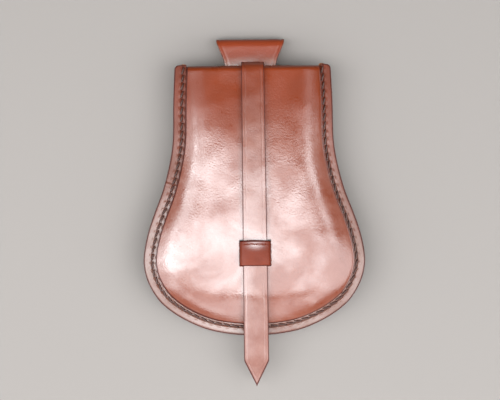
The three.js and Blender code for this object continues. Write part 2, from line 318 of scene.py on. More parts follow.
# Lines
def smooth_curve(points, steps):
    """A centripetal Catmull-Rom curve through 2D points, as a fine line of points."""
    ends = [points[0] * 2 - points[1], *points, points[-1] * 2 - points[-2]]
    line = []
    for p0, p1, p2, p3 in zip(ends, ends[1:], ends[2:], ends[3:]):
        d0, d1, d2 = (math.sqrt((b - a).length) for a, b in ((p0, p1), (p1, p2), (p2, p3)))
        start = ((p1 - p0) / d0 - (p2 - p0) / (d0 + d1) + (p2 - p1) / d1) * d1
        end = ((p2 - p1) / d1 - (p3 - p1) / (d1 + d2) + (p3 - p2) / d2) * d1
        for k in range(steps):
            t = k / steps
            bend = (-3 * p1 + 3 * p2 - 2 * start - end) * t**2
            twist = (2 * p1 - 2 * p2 + start + end) * t**3
            line.append(p1 + start * t + bend + twist)
    line.append(points[-1].copy())
    return line


class Line:
    """A fine line of 2D points that can be read by its length."""

    def __init__(self, points):
        self.points = points
        self.lengths = [0.0]
        for a, b in zip(points, points[1:]):
            self.lengths.append(self.lengths[-1] + (b - a).length)
        self.length = self.lengths[-1]
        self.tree = None

    def at(self, length):
        i = int(clamp(bisect.bisect_right(self.lengths, length), 1, len(self.points) - 1))
        low, high = self.lengths[i - 1], self.lengths[i]
        return self.points[i - 1].lerp(self.points[i], clamp((length - low) / (high - low)))

    def along(self, length):
        reach = 0.4
        return (self.at(length + reach) - self.at(length - reach)).normalized()

    def inwards(self, length):
        along = self.along(length)
        return Vector((along.y, -along.x))

    def beside(self, x, y):
        """How far along the line a place lies, and how far inwards of it."""
        if self.tree is None:
            self.tree = kdtree.KDTree(len(self.points))
            for i, point in enumerate(self.points):
                self.tree.insert((*point, 0), i)
            self.tree.balance()
        _, i, _ = self.tree.find((x, y, 0))
        step = Vector((x, y)) - self.points[i]
        along = self.along(self.lengths[i])
        inwards = Vector((along.y, -along.x))
        return self.lengths[i] + step.dot(along), step.dot(inwards)


def resampled(points, step):
    """The same line as points that lie about a step apart."""
    line = Line(points)
    count = math.ceil(line.length / step)
    return [line.at(line.length * k / count) for k in range(count + 1)]


def right_outline():
    """The right half of the body's outline, from its top down to the middle of its base."""
    half = (FRONT_HIGH.x - FRONT_LOW.x) / 2
    length = EAR_TOP - BODY_BOTTOM
    right = [Vector((wide * half, EAR_TOP - down * length)) for down, wide in OUTLINE]
    left = [Vector((-p.x, p.y)) for p in reversed(right[:-1])]
    line = smooth_curve(right + left, 24)
    widest = max(p.x for p in line)
    half_line = [Vector((p.x * half / widest, p.y)) for p in line[: len(line) // 2 + 1]]
    half_line[-1].x = 0
    return Line(half_line)


RIGHT_OUTLINE = right_outline()


def inset_line(inset, top):
    """The right half of the outline from a height down, moved inwards by inset."""
    points = []
    for k in range(801):
        length = RIGHT_OUTLINE.length * k / 800
        points.append(RIGHT_OUTLINE.at(length) + RIGHT_OUTLINE.inwards(length) * inset)
    points[-1].x = 0
    below = [p for p in points if p.y < top]
    return Line([Vector((below[0].x, top)), *below])


def eared_line():
    """The right half of the body's outline with its rounded ear, from the ear's inner end."""
    side = inset_line(0, EAR_TOP - EAR_RADIUS)
    corner = side.points[0] - Vector((EAR_RADIUS, 0))
    angles = [math.pi / 2 * k / 8 for k in range(8)]
    ear = [corner + Vector((math.sin(a), math.cos(a))) * EAR_RADIUS for a in angles]
    return Line([*ear, *side.points])


BODY_EDGE = eared_line()
FLAP_EDGE = inset_line(MARGIN, FOLD_LINE)
SEAM = inset_line(MARGIN, EAR_TOP)
SEAM_HEIGHTS = [-p.y for p in SEAM.points]
SEAM_BOTTOM = SEAM.points[-1].y
FLAP_HALF = FLAP_EDGE.points[0].x


# The pouch's faces
def seam_half_width(y):
    """How far the seam lies from the middle at a height."""
    i = int(clamp(bisect.bisect_right(SEAM_HEIGHTS, -y), 1, len(SEAM_HEIGHTS) - 1))
    a, b = SEAM.points[i - 1], SEAM.points[i]
    return lerp(a.x, b.x, clamp((a.y - y) / max(a.y - b.y, 1e-9)))


def crown(share, flatness):
    """How full a face is on its way out to the seam: 1 in the middle and 0 at the seam."""
    return (1 - share**flatness) ** 2


def crown_across(x, y, flatness):
    return crown(min(1, abs(x) / max(seam_half_width(y), 1e-6)), flatness)


def crown_below(down, flatness):
    return crown((down - FULLEST_SHARE) / (1 - FULLEST_SHARE), flatness)


def down_share(y):
    return clamp((FOLD_LINE - y) / (FOLD_LINE - SEAM_BOTTOM))


def front_full(x, y):
    """How full the front is at a place, as a share of its rise."""
    down = down_share(y)
    rise = math.sin(math.pi / 2 * min(1, down / FULLEST_SHARE))
    above = lerp(MOUTH_RISE / FRONT_RISE, 1, rise)
    full = above if down < FULLEST_SHARE else crown_below(down, BASE_CROWN)
    return crown_across(x, y, SIDE_CROWN) * full


def back_full(x, y):
    """How full the back is at a place: flat behind the belt loop, and full below."""
    down = down_share(y)
    above = smooth((down - FLAT_BACK_SHARE) / (FULLEST_SHARE - FLAT_BACK_SHARE))
    below = above if down < FULLEST_SHARE else crown_below(down, BACK_CROWN)
    return 1 - (1 - crown_across(x, y, BACK_CROWN) * below) ** 2


def front_face(x, y):
    return FRONT_MARGIN + FRONT_RISE * front_full(x, y)


def back_face(x, y):
    return BACK_HEIGHT * (1 - back_full(x, y))


def off_face(face, x, y, distance):
    """The place above (x, y) of a face, at a distance square to it."""
    reach = 0.5
    slope_x = (face(x + reach, y) - face(x - reach, y)) / (2 * reach)
    slope_y = (face(x, y + reach) - face(x, y - reach)) / (2 * reach)
    square = Vector((-slope_x, -slope_y, 1)).normalized()
    return Vector((x, y, face(x, y))) + square * distance


def flap_stand_off(x, y):
    """How far the flap's underside lies off the front's face."""
    return 2 * GAP + FLAP_SLACK * front_full(x, y) ** (1 / 3)


def lean_at(y):
    """How far the strap's middle has wandered to the right at a height."""
    return STRAP_LEAN * clamp((EAR_TOP - y) / (EAR_TOP - STRAP_LOW.y))


KEEPER_LEAN = lean_at(KEEPER_MIDDLE)


# Modelling
def shaped_grid(columns, rows, place):
    """A bmesh grid whose vertices go where place(column, row) says, in millimetres."""
    bm = bmesh.new()
    bmesh.ops.create_grid(bm, x_segments=columns, y_segments=rows, size=0.5)
    for vert in bm.verts:
        column = round((vert.co.x + 0.5) * columns)
        row = round((0.5 - vert.co.y) * rows)
        vert.co = place(column, row) * MM
    bmesh.ops.remove_doubles(bm, verts=bm.verts, dist=0.01 * MM)
    return bm


def cut_window(bm, low, high):
    """Cuts the rectangle between two 2D corners, in millimetres, out of a sheet seen from above."""
    low, high = Vector(low) * MM, Vector(high) * MM

    def within(face, slack):
        middle = face.calc_center_median()
        return all(low[k] - slack < middle[k] < high[k] + slack for k in (0, 1))

    for axis, place in ((0, low[0]), (0, high[0]), (1, low[1]), (1, high[1])):
        near = [face for face in bm.faces if within(face, 2 * MM)]
        edges = {edge for face in near for edge in face.edges}
        verts = {vert for face in near for vert in face.verts}
        square = Vector((1, 0, 0)) if axis == 0 else Vector((0, 1, 0))
        bmesh.ops.bisect_plane(
            bm, geom=[*near, *edges, *verts], dist=1e-7, plane_co=square * place, plane_no=square
        )
    inside = [face for face in bm.faces if within(face, 0)]
    bmesh.ops.delete(bm, geom=inside, context="FACES")


def thicken(bm, thickness, rounding, segments=3):
    """Gives a sheet its leather behind its grain side, and rounds the cut edges.

    The flesh side is marked, so that its fibres show there."""
    flesh = bm.verts.layers.float.new("flesh")
    grain_verts = set(bm.verts)
    bmesh.ops.solidify(bm, geom=bm.faces[:], thickness=thickness * MM)
    for vert in bm.verts:
        vert[flesh] = 0.0 if vert in grain_verts else 1.0
    bm.normal_update()
    joining = [edge for edge in bm.edges if len(edge.link_faces) == 2]
    sharp = [edge for edge in joining if edge.calc_face_angle() > SHARP_ANGLE]
    bmesh.ops.bevel(
        bm, geom=sharp, offset=rounding * MM, offset_type="OFFSET", affect="EDGES",
        segments=segments, profile=0.5, material=-1, clamp_overlap=True,
    )
    bm.normal_update()


def mark_edge(bm, distance_at):
    """Marks each vertex with its distance from the leather's cut edge, in millimetres."""
    layer = bm.verts.layers.float.new("from_edge")
    for vert in bm.verts:
        vert[layer] = distance_at(*(vert.co / MM))


def finish_piece(name, bm, material, slot, *nodes):
    """Makes an object of a bmesh, rides it on the root body and hides the frame parts it replaces.
    """
    mesh = bpy.data.meshes.new(name)
    bm.to_mesh(mesh)
    bm.free()
    mesh.shade_smooth()
    mesh.materials.append(material)
    piece = bpy.data.objects.new(name, mesh)
    bpy.context.scene.collection.objects.link(piece)
    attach(piece, "root")
    for node in nodes:
        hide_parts(node)
    return piece


# Materials
def add_node(tree, kind, settings=None, inputs=None):
    """Adds a node with its settings. Each input is a value, or the output socket that feeds it."""
    node = tree.nodes.new(kind)
    for name, value in (settings or {}).items():
        setattr(node, name, value)
    for key, value in (inputs or {}).items():
        socket = node.inputs[key]
        if isinstance(value, bpy.types.NodeSocket):
            tree.links.new(value, socket)
        else:
            socket.default_value = value
    return node


# The sockets of a Mix node that mixes colours, and of one that mixes values
MIX_SHARE, MIX_FIRST, MIX_SECOND, MIX_RESULT = 0, 6, 7, 2
VALUE_FIRST, VALUE_SECOND, VALUE_RESULT = 2, 3, 0

# Settings that many nodes share
OF_COLOURS = {"data_type": "RGBA"}
OF_VALUES = {"data_type": "FLOAT"}
EASED = {"interpolation_type": "SMOOTHSTEP"}


def per_mm(millimetres):
    """The scale of a pattern on Object coordinates whose features are this far apart."""
    return 1 / (millimetres * MM)


def new_material(name):
    material = bpy.data.materials.new(name)
    material.use_nodes = True
    tree = material.node_tree
    return material, tree, tree.nodes["Principled BSDF"]


def leather(label, dye, deep, worn_and_sheen, roughness, burnish, sheen_from, sheen_to, wax=1.0,
            coat_roughness=0.18):
    """Vegetable-tanned cowhide, dyed by hand, waxed and rubbed to a shine.

    The eye sees dye in soft clouds, a fine grain that breaks up the gloss, a painted sheen that
    lightens the colour lower down and in blotches, scratches, edges burnished dark over burnish
    millimetres, and a dull fibrous flesh side. The clouds are darker by the factor deep. The
    colour given after deep is that of the painted sheen and of the scratches. The painted sheen
    and a thicker coat of wax grow from the first height given down to the second, in millimetres.
    wax is how thick its coat of wax is, and coat_roughness how far that is from a mirror."""
    material, tree, shader = new_material(f"waxed vegetable-tanned leather, {label}")
    spot = add_node(tree, "ShaderNodeTexCoord").outputs["Object"]
    height = add_node(tree, "ShaderNodeSeparateXYZ", inputs={"Vector": spot}).outputs["Y"]
    flesh, from_edge, groove, polish = (
        add_node(tree, "ShaderNodeAttribute", {"attribute_name": mark}).outputs["Fac"]
        for mark in ("flesh", "from_edge", "groove", "polish")
    )

    # Clouds of dye 45 mm across, with 11 mm blotches in them
    clouds = add_node(
        tree, "ShaderNodeTexNoise",
        inputs={
            "Vector": spot, "Scale": per_mm(45), "Detail": 5, "Roughness": 0.55, "Distortion": 0.4,
        },
    ).outputs["Fac"]
    blotches = add_node(
        tree, "ShaderNodeTexNoise",
        inputs={"Vector": spot, "Scale": per_mm(11), "Detail": 6, "Roughness": 0.65},
    ).outputs["Fac"]
    deep_share = add_node(
        tree, "ShaderNodeMapRange", EASED,
        {"Value": clouds, "From Min": 0.38, "From Max": 0.66, "To Max": 0.75},
    ).outputs["Result"]

    # Painted sheen: the colour turns lighter lower down, and in blotches, like the haze of a
    # highlight
    low_share = add_node(
        tree, "ShaderNodeMapRange", EASED,
        {"Value": height, "From Min": sheen_from * MM, "From Max": sheen_to * MM},
    ).outputs["Result"]
    patchy = add_node(
        tree, "ShaderNodeMapRange",
        inputs={"Value": blotches, "From Min": 0.35, "From Max": 0.7, "To Min": 0.35},
    ).outputs["Result"]
    painted_sheen_share = add_node(
        tree, "ShaderNodeMath", {"operation": "MULTIPLY"}, {0: low_share, 1: patchy}
    ).outputs["Value"]

    # Scratches under a millimetre wide and some 25 mm long, at a slant
    slanted = add_node(
        tree, "ShaderNodeMapping", {"vector_type": "TEXTURE"},
        {
            "Vector": spot, "Rotation": (0, 0, math.radians(-24)),
            "Scale": (25 * MM, 0.9 * MM, 25 * MM),
        },
    ).outputs["Vector"]
    streaks = add_node(
        tree, "ShaderNodeTexNoise",
        inputs={"Vector": slanted, "Scale": 1, "Detail": 2, "Distortion": 0.6},
    ).outputs["Fac"]
    scratch_share = add_node(
        tree, "ShaderNodeMapRange",
        inputs={"Value": streaks, "From Min": 0.70, "From Max": 0.78, "To Max": 0.35},
    ).outputs["Result"]

    # The burnished edge is dark, and its inner side wavers
    wavering = add_node(
        tree, "ShaderNodeMath", {"operation": "MULTIPLY_ADD"},
        {0: blotches, 1: 0.9, 2: burnish - 0.45},
    ).outputs["Value"]
    edge_share = add_node(
        tree, "ShaderNodeMapRange", EASED,
        {"Value": from_edge, "From Min": wavering, "From Max": burnish * 0.4, "To Max": 0.9},
    ).outputs["Result"]

    # Each colour lies over the one before. The stitch groove is drawn darker
    colour = dye
    for share, over in (
        # The painted sheen and the scratches share one colour
        (deep_share, shade(dye, deep)), (painted_sheen_share, worn_and_sheen), (scratch_share, worn_and_sheen),
        (edge_share, colour_of("edge")), (groove, colour_of("edge")), (flesh, colour_of("flesh")),
    ):
        colour = add_node(
            tree, "ShaderNodeMix", OF_COLOURS,
            {MIX_SHARE: share, MIX_FIRST: colour, MIX_SECOND: over},
        ).outputs[MIX_RESULT]
    tree.links.new(colour, shader.inputs["Base Color"])

    gloss = add_node(
        tree, "ShaderNodeMapRange",
        inputs={
            "Value": blotches, "From Min": 0.3, "From Max": 0.7,
            "To Min": roughness - 0.05, "To Max": roughness + 0.07,
        },
    ).outputs["Result"]
    dull = add_node(
        tree, "ShaderNodeMix", OF_VALUES,
        {MIX_SHARE: flesh, VALUE_FIRST: gloss, VALUE_SECOND: 0.85},
    ).outputs[VALUE_RESULT]
    tree.links.new(dull, shader.inputs["Roughness"])

    # Pores 1.1 mm apart, a little coarser than real ones so that they show, with fibres,
    # blotches and broad swells over them
    pores = add_node(
        tree, "ShaderNodeTexVoronoi", {"feature": "SMOOTH_F1"},
        {"Vector": spot, "Scale": per_mm(1.1), "Smoothness": 0.6, "Randomness": 1},
    ).outputs["Distance"]
    fibres = add_node(
        tree, "ShaderNodeTexNoise",
        inputs={"Vector": spot, "Scale": per_mm(3.2), "Detail": 5, "Roughness": 0.7},
    ).outputs["Fac"]
    swells = add_node(
        tree, "ShaderNodeTexNoise", inputs={"Vector": spot, "Scale": per_mm(30), "Detail": 1}
    ).outputs["Fac"]
    below = {}
    for pattern, strength, lift in (
        (pores, 0.5, 0.1), (fibres, 0.5, 0.07), (blotches, 0.5, 0.12), (swells, 1, 0.8),
    ):
        relief = add_node(
            tree, "ShaderNodeBump",
            inputs={"Height": pattern, "Strength": strength, "Distance": lift * MM, **below},
        ).outputs["Normal"]
        below = {"Normal": relief}
    tree.links.new(relief, shader.inputs["Normal"])
    tree.links.new(relief, shader.inputs["Coat Normal"])

    # Rubbed wax shines almost like lacquer, mostly lower down and in clouds, but neither on the
    # flesh side nor at the edges
    thinner = add_node(
        tree, "ShaderNodeMapRange",
        inputs={
            "Value": clouds, "From Min": 0.38, "From Max": 0.6,
            "To Min": wax, "To Max": wax * 0.35,
        },
    ).outputs["Result"]
    rubbing = add_node(
        tree, "ShaderNodeMapRange", inputs={"Value": low_share, "To Min": 0.17}
    ).outputs["Result"]
    coat = add_node(
        tree, "ShaderNodeMath", {"operation": "MULTIPLY_ADD", "use_clamp": True},
        {0: thinner, 1: rubbing, 2: polish},
    ).outputs["Value"]
    for bare_share in (flesh, edge_share):
        coat = add_node(
            tree, "ShaderNodeMix", OF_VALUES,
            {MIX_SHARE: bare_share, VALUE_FIRST: coat, VALUE_SECOND: 0.0},
        ).outputs[VALUE_RESULT]
    tree.links.new(coat, shader.inputs["Coat Weight"])
    coat_gloss = add_node(
        tree, "ShaderNodeMapRange",
        inputs={
            "Value": blotches, "From Min": 0.35, "From Max": 0.65,
            "To Min": coat_roughness - 0.02, "To Max": coat_roughness + 0.07,
        },
    ).outputs["Result"]
    tree.links.new(coat_gloss, shader.inputs["Coat Roughness"])
    shader.inputs["Coat IOR"].default_value = 2.2
    shader.inputs["Specular IOR Level"].default_value = 0.15 * wax
    return material


def shade(colour, factor):
    """A colour made darker or lighter by a factor."""
    return (*(clamp(channel * factor) for channel in colour[:3]), 1)


def waxed_thread():
    """Linen thread pulled through wax: dark, dull-shining, its strands just visible."""
    material, tree, shader = new_material("waxed linen thread")
    spot = add_node(tree, "ShaderNodeTexCoord").outputs["Object"]
    strands = add_node(
        tree, "ShaderNodeTexNoise", inputs={"Vector": spot, "Scale": per_mm(0.9), "Detail": 3}
    ).outputs["Fac"]
    dye = colour_of("thread")
    tone = add_node(
        tree, "ShaderNodeMix", OF_COLOURS,
        {MIX_SHARE: strands, MIX_FIRST: shade(dye, 0.6), MIX_SECOND: shade(dye, 1.5)},
    ).outputs[MIX_RESULT]
    tree.links.new(tone, shader.inputs["Base Color"])
    ridges = add_node(
        tree, "ShaderNodeBump", inputs={"Height": strands, "Strength": 0.5, "Distance": 0.15 * MM}
    ).outputs["Normal"]
    tree.links.new(ridges, shader.inputs["Normal"])
    shader.inputs["Roughness"].default_value = 0.5
    return material


# The stitching
def stitch_spacing():
    """The stitch row's line, its pitch and its number of stitches."""
    line = inset_line(size_mm("stitch_inset"), EAR_TOP)
    sewn = line.length - FIRST_HOLE
    count = round(sewn / size_mm("stitch_pitch"))
    return line, sewn / count, count


def stitch_relief(row, x, y):
    """How the saddle stitching shapes the margin at a place."""
    line, pitch, _ = row
    length, off_row = line.beside(abs(x), y)
    phase = (length - FIRST_HOLE) / pitch
    to_hole = (phase - round(phase)) * pitch
    between = (1 - math.cos(2 * math.pi * phase)) / 2
    groove = -GROOVE_DEPTH * hump(off_row, GROOVE_WIDTH)
    hole = -HOLE_DEPTH * hump(off_row, HOLE_WIDTH) * hump(to_hole, HOLE_WIDTH)
    puffs = (high * between * hump(off_row - off, wide) for high, off, wide in PUFFS)
    return sum(puffs, groove + hole)


def edge_fall(inset):
    """How far a margin falls away towards its rubbed outer edge."""
    return -EDGE_FALL * clamp(1 - inset / EDGE_FALL_REACH) ** 2


def nick(x, y):
    """A small crease across the front's left margin, with a ridge below it."""
    below = NICK_PLACE[1] - NICK_SLOPE * (x - NICK_PLACE[0]) - y
    ridge = NICK_RIDGE * hump(below - NICK_RIDGE_BELOW, NICK_WIDTH)
    return -NICK_DEPTH * hump(below, NICK_WIDTH) + ridge


def add_stitch(bm, start, end):
    """A stitch: a thick end-rounded run of thread between two holes, half sunk in the leather."""
    along = end - start
    width = size_mm("thread_width")
    height = width * THREAD_FLATNESS
    turn = along.to_track_quat("X", "Z").to_matrix().to_4x4()
    size = Matrix.Diagonal((along.length / 2, width / 2, height / 2, 1))
    made = bmesh.ops.create_uvsphere(bm, u_segments=8, v_segments=6, radius=1)
    for vert in made["verts"]:
        fuller = (1 - vert.co.x**4) ** 0.5 / max((1 - vert.co.x**2) ** 0.5, 1e-3)
        vert.co.y *= min(fuller, 1.4)
        vert.co.z *= min(fuller, 1.4)
    move = Matrix.Translation((start + end) / 2)
    bmesh.ops.transform(bm, matrix=Matrix.Scale(MM, 4) @ move @ turn @ size, verts=made["verts"])


def stitches_mesh(height_at, facing):
    """Both sides' stitches. Each slants the same way across its row, as an awl's holes make it."""
    line, pitch, count = stitch_spacing()
    bm = bmesh.new()
    for side in (-1, 1):
        for k in range(count):
            ends = []
            for share, across in ((0, -STITCH_SLANT), (1, STITCH_SLANT)):
                length = FIRST_HOLE + (k + share) * pitch
                flat = line.at(length) + line.inwards(length) * across * side * facing
                ends.append(Vector((side * flat.x, flat.y, height_at(side * flat.x, flat.y))))
            add_stitch(bm, *ends)
    return bm


# The body's panels
def panel_places(line, insets, even, shift=0.0, corner=0.0):
    """The places of a panel's columns along a half outline, and how many columns there are.

    The outer columns lie at the insets square to the edge, and even ones lead on to a middle
    spine. Where the line starts with a rounded corner, the columns there run level."""
    depth = insets[-1]
    sides = len(insets) + even
    top = line.points[0].y
    arc = corner * math.pi / 2

    def place(column, length):
        edge = line.at(length)
        if length < arc:
            inner = Vector((line.points[0].x + corner - depth, top - corner * length / arc))
        else:
            inner = edge + line.inwards(length) * depth
        inner.x = max(inner.x, 0)
        side = -1 if column < sides else 1
        inwards = column if side < 0 else 2 * sides - column
        if inwards < len(insets):
            spot = edge.lerp(inner, insets[inwards] / depth)
        else:
            spine = Vector((0, max(lerp(top, edge.y, 0.66), inner.y)))
            spot = inner.lerp(spine, (inwards - len(insets) + 1) / (even + 1))
        return shift + side * spot.x, spot.y

    return place, 2 * sides


def body_distance(x, y, _):
    """How far a place lies in from the body's outer edge."""
    return max(0, BODY_EDGE.beside(abs(x), y)[1])


def body_panel_mesh(face, face_up, window_from):
    """A panel of the body with its stitched margin, cut away between its ears above a height.

    face_up is 1 where its grain side looks up, and -1 where it looks down."""
    row = stitch_spacing()
    place, columns = panel_places(
        BODY_EDGE, FINE_COLUMNS, BODY_MIDDLE_COLUMNS, corner=EAR_RADIUS
    )

    def vertex(column, line_row):
        x, y = place(column, BODY_EDGE.length * line_row / BODY_ROWS)
        inwards = min(column, columns - column)
        if inwards >= len(FINE_COLUMNS):
            return off_face(face, x, y, 0)
        relief = stitch_relief(row, x, y) + edge_fall(FINE_COLUMNS[inwards])
        if face_up > 0 and x < 0:
            relief += nick(x, y)
        return off_face(face, x, y, face_up * relief)

    bm = shaped_grid(columns, BODY_ROWS, vertex)
    half = FLAP_HALF + 2 * GAP
    cut_window(bm, (FLAP_SHIFT - half, window_from), (FLAP_SHIFT + half, EAR_TOP + 1))
    if face_up < 0:
        bmesh.ops.reverse_faces(bm, faces=bm.faces)
    thicken(bm, BODY_LEATHER, size_mm("edge_rounding"))
    mark_edge(bm, body_distance)
    groove = bm.verts.layers.float.new("groove")
    for vert in bm.verts:
        _, off_row = row[0].beside(abs(vert.co.x) / MM, vert.co.y / MM)
        vert[groove] = GROOVE_DARKNESS * hump(off_row, GROOVE_WIDTH)
    return bm


class POUCH_OT_front_panel(bpy.types.Operator):
    """Builds the front panel, whose stitched margin shows round the flap"""

    bl_idname = "pouch.front_panel"
    bl_label = "Front Panel"

    def execute(self, context):
        # The margin's second colour is a painted sheen, grey-mauve lower down, and its scratches'
        # colour
        material = leather(
            "margin", colour_of("margin"), 0.7, linear("#6e5248"),
            roughness=0.5, burnish=1.3, sheen_from=100, sheen_to=-30, wax=0.55, coat_roughness=0.2,
        )
        bm = body_panel_mesh(front_face, 1, MOUTH)
        finish_piece("front_panel_leather", bm, material, "margin_leather", "front_panel")
        return {"FINISHED"}


class POUCH_OT_stitching(bpy.types.Operator):
    """Sews the margin on the front and the back with saddle stitches"""

    bl_idname = "pouch.stitching"
    bl_label = "Stitching"

    def execute(self, context):
        thread = waxed_thread()
        front = stitches_mesh(lambda x, y: front_face(x, y) - THREAD_SUNK, 1)
        finish_piece("front_stitches", front, thread, "margin_leather")
        back = stitches_mesh(lambda x, y: back_face(x, y) + THREAD_SUNK, -1)
        finish_piece("back_stitches", back, thread, "margin_leather")
        return {"FINISHED"}


def flap_ripple(x, y):
    """The flap's leather isn't quite even: a few soft waves."""
    broad = noise.noise(Vector((x / 34, y / 40, 1.7)))
    small = noise.noise(Vector((x / 13, y / 16, 5.1)))
    return size_mm("waviness") * (broad + 0.3 * small) * front_full(x, y) ** 0.25


def flap_mesh():
    """The flap, from where it meets the back, over the fold and down the front."""
    place, columns = panel_places(
        FLAP_EDGE, PLAIN_COLUMNS, FLAP_MIDDLE_COLUMNS, shift=FLAP_SHIFT
    )

    def skin(column, row):
        x, y = place(column, FLAP_EDGE.length * row / FLAP_ROWS)
        return off_face(front_face, x, y, flap_stand_off(x, y) + BODY_LEATHER + flap_ripple(x, y))

    def distance_at(x, y, z):
        if z < BACK_HEIGHT + 1:
            return UNCUT
        return max(0, FLAP_EDGE.beside(abs(x - FLAP_SHIFT), y)[1])

    def vertex(column, row):
        if row >= FOLD_ROWS:
            return skin(column, row - FOLD_ROWS)
        end = skin(column, 0)
        angle = math.pi * row / FOLD_ROWS
        spot = Vector((end.x, FOLD_LINE, BACK_HEIGHT)).lerp(end, (1 - math.cos(angle)) / 2)
        spot.y += (FOLD_RADIUS + BODY_LEATHER) * math.sin(angle)
        return spot

    bm = shaped_grid(columns, FLAP_ROWS + FOLD_ROWS, vertex)
    for side in (-1, 1):
        middle = KEEPER_LEAN + side * (KEEPER_WIDTH - KEEPER_LEATHER) / 2
        half = KEEPER_LEATHER / 2 + GAP
        low = KEEPER_MIDDLE - KEEPER_LENGTH / 2 - GAP
        high = KEEPER_MIDDLE + KEEPER_LENGTH / 2 + SLIT_SLACK
        cut_window(bm, (middle - half, low), (middle + half, high))
    thicken(bm, BODY_LEATHER, FLAP_ROUNDING)
    mark_edge(bm, distance_at)
    return bm


class POUCH_OT_back_and_flap(bpy.types.Operator):
    """Builds the back panel and the flap that folds over from it"""

    bl_idname = "pouch.back_and_flap"
    bl_label = "Back and Flap"

    def execute(self, context):
        # The flap's second colour is a painted sheen lower down, and its scratches' colour
        material = leather(
            "flap", colour_of("flap"), 0.8, linear("#7a483a"),
            roughness=0.3, burnish=0.9, sheen_from=90, sheen_to=40,
        )
        finish_piece("flap_leather", flap_mesh(), material, "flap_leather", "back_and_flap")
        back = body_panel_mesh(back_face, -1, FOLD_LINE)
        finish_piece("back_leather", back, material, "flap_leather", "back_and_flap")
        return {"FINISHED"}


# Strips
def strip_mesh(path, columns, distance, thickness, centre_at, half_at):
    """A strip along points of (y, z), creased along both edges.

    Its grain side lies at a distance from the path, on the path's left."""
    line = Line(path)
    crease, depth = size_mm("crease_inset"), size_mm("crease_depth")

    def vertex(column, row):
        before, after = path[max(row - 1, 0)], path[min(row + 1, len(path) - 1)]
        along = (after - before).normalized()
        across = math.sin(math.pi * (column / columns - 0.5))
        across = lerp(2 * column / columns - 1, across, 0.5)
        half = half_at(path[row].x)
        sunk = depth * hump(abs(across) * half - (half - crease), 0.4)
        uneven = 0.12 * noise.noise(Vector((line.lengths[row] / 9, across * half / 9, 3.3)))
        spot = path[row] + Vector((along.y, -along.x)) * (distance - sunk + uneven)
        return Vector((centre_at(path[row].x) + half * across, spot.x, spot.y))

    bm = shaped_grid(columns, len(path) - 1, vertex)
    thicken(bm, thickness, STRIP_ROUNDING, 2)
    mark_edge(bm, lambda x, y, z: max(0, half_at(y) - abs(x - centre_at(y))))
    return bm


def strap_path():
    """What the strap's underside touches, from its hidden end over the fold to its tip."""
    back_end = EAR_TOP - STRAP_BEHIND
    path = [Vector((lerp(back_end, FOLD_LINE, k / 12), BACK_HEIGHT)) for k in range(12)]
    over = off_face(front_face, 0, FOLD_LINE, flap_stand_off(0, FOLD_LINE) + BODY_LEATHER)
    for k in range(FOLD_ROWS):
        angle = math.pi * k / FOLD_ROWS
        share = (1 - math.cos(angle)) / 2
        y = lerp(FOLD_LINE, over.y, share) + (FOLD_RADIUS + BODY_LEATHER) * math.sin(angle)
        path.append(Vector((y, lerp(BACK_HEIGHT, over.z, share))))
    front = []
    for k in range(STRAP_FRONT_STEPS + 1):
        y = lerp(FOLD_LINE, SEAM_BOTTOM, k / STRAP_FRONT_STEPS)
        place = off_face(front_face, 0, y, flap_stand_off(0, y) + BODY_LEATHER)
        front.append(Vector((place.y, place.z)))
    front += [Vector((BODY_BOTTOM, FRONT_MARGIN)), Vector((STRAP_LOW.y, TIP_HEIGHT))]

    # Down the front the strap is drawn taut: it touches only what stands out
    taut = []
    for point in front:
        while len(taut) > 1:
            a, b = taut[-2:]
            if (b.x - a.x) * (point.y - a.y) - (b.y - a.y) * (point.x - a.x) > 0:
                break
            taut.pop()
        taut.append(point)
    hang = (taut[-1] - taut[-2]).normalized()
    taut[-1].x -= hang.y * (GAP + STRAP_LEATHER)
    return path + taut


def strap_mesh():
    path = resampled(strap_path(), STRAP_STEP)
    tip = path[-1].x

    def half_at(y):
        width = lerp(STRAP_TOP_WIDTH, STRAP_END_WIDTH, clamp((EAR_TOP - y) / (EAR_TOP - tip)))
        return width / 2 * clamp((y - tip) / POINT_LENGTH, 0.02, 1)

    return strip_mesh(
        path, STRAP_COLUMNS, GAP + STRAP_LEATHER, STRAP_LEATHER, lean_at, half_at
    )


class POUCH_OT_closing_strap(bpy.types.Operator):
    """Builds the closing strap with its creased edges"""

    bl_idname = "pouch.closing_strap"
    bl_label = "Closing Strap"

    def execute(self, context):
        # The strap's second colour is a painted sheen lower down, and its scratches' colour
        material = leather(
            "strap", colour_of("strap"), 0.75, linear("#7c5044"),
            roughness=0.38, burnish=0.9, sheen_from=100, sheen_to=45, wax=0.9,
        )
        finish_piece("strap_leather", strap_mesh(), material, "strap_leather", "closing_strap")
        return {"FINISHED"}


def keeper_section():
    """The keeper's outer skin as (across, off the front's face), round from its right side."""
    strap_top = flap_stand_off(0, KEEPER_MIDDLE) + BODY_LEATHER + GAP + STRAP_LEATHER
    low, high = 2 * GAP, strap_top + 2 * GAP + KEEPER_LEATHER
    half, radius = KEEPER_WIDTH / 2, KEEPER_CORNER
    points = []
    for side, up, start in ((1, 1, 0), (-1, 1, 0.5), (-1, -1, 1), (1, -1, 1.5)):
        base = high - radius if up > 0 else low + radius
        for k in range(9):
            angle = math.pi * (start + 0.5 * k / 8)
            across = side * (half - radius) + radius * math.cos(angle)
            points.append(Vector((across, base + radius * math.sin(angle))))
    line = resampled([*points, points[0]], 0.8)
    for point in line:
        if point.y > (low + high) / 2:
            point.y += KEEPER_BULGE * (1 - (point.x / half) ** 2)
    line[-1] = line[0].copy()
    return line


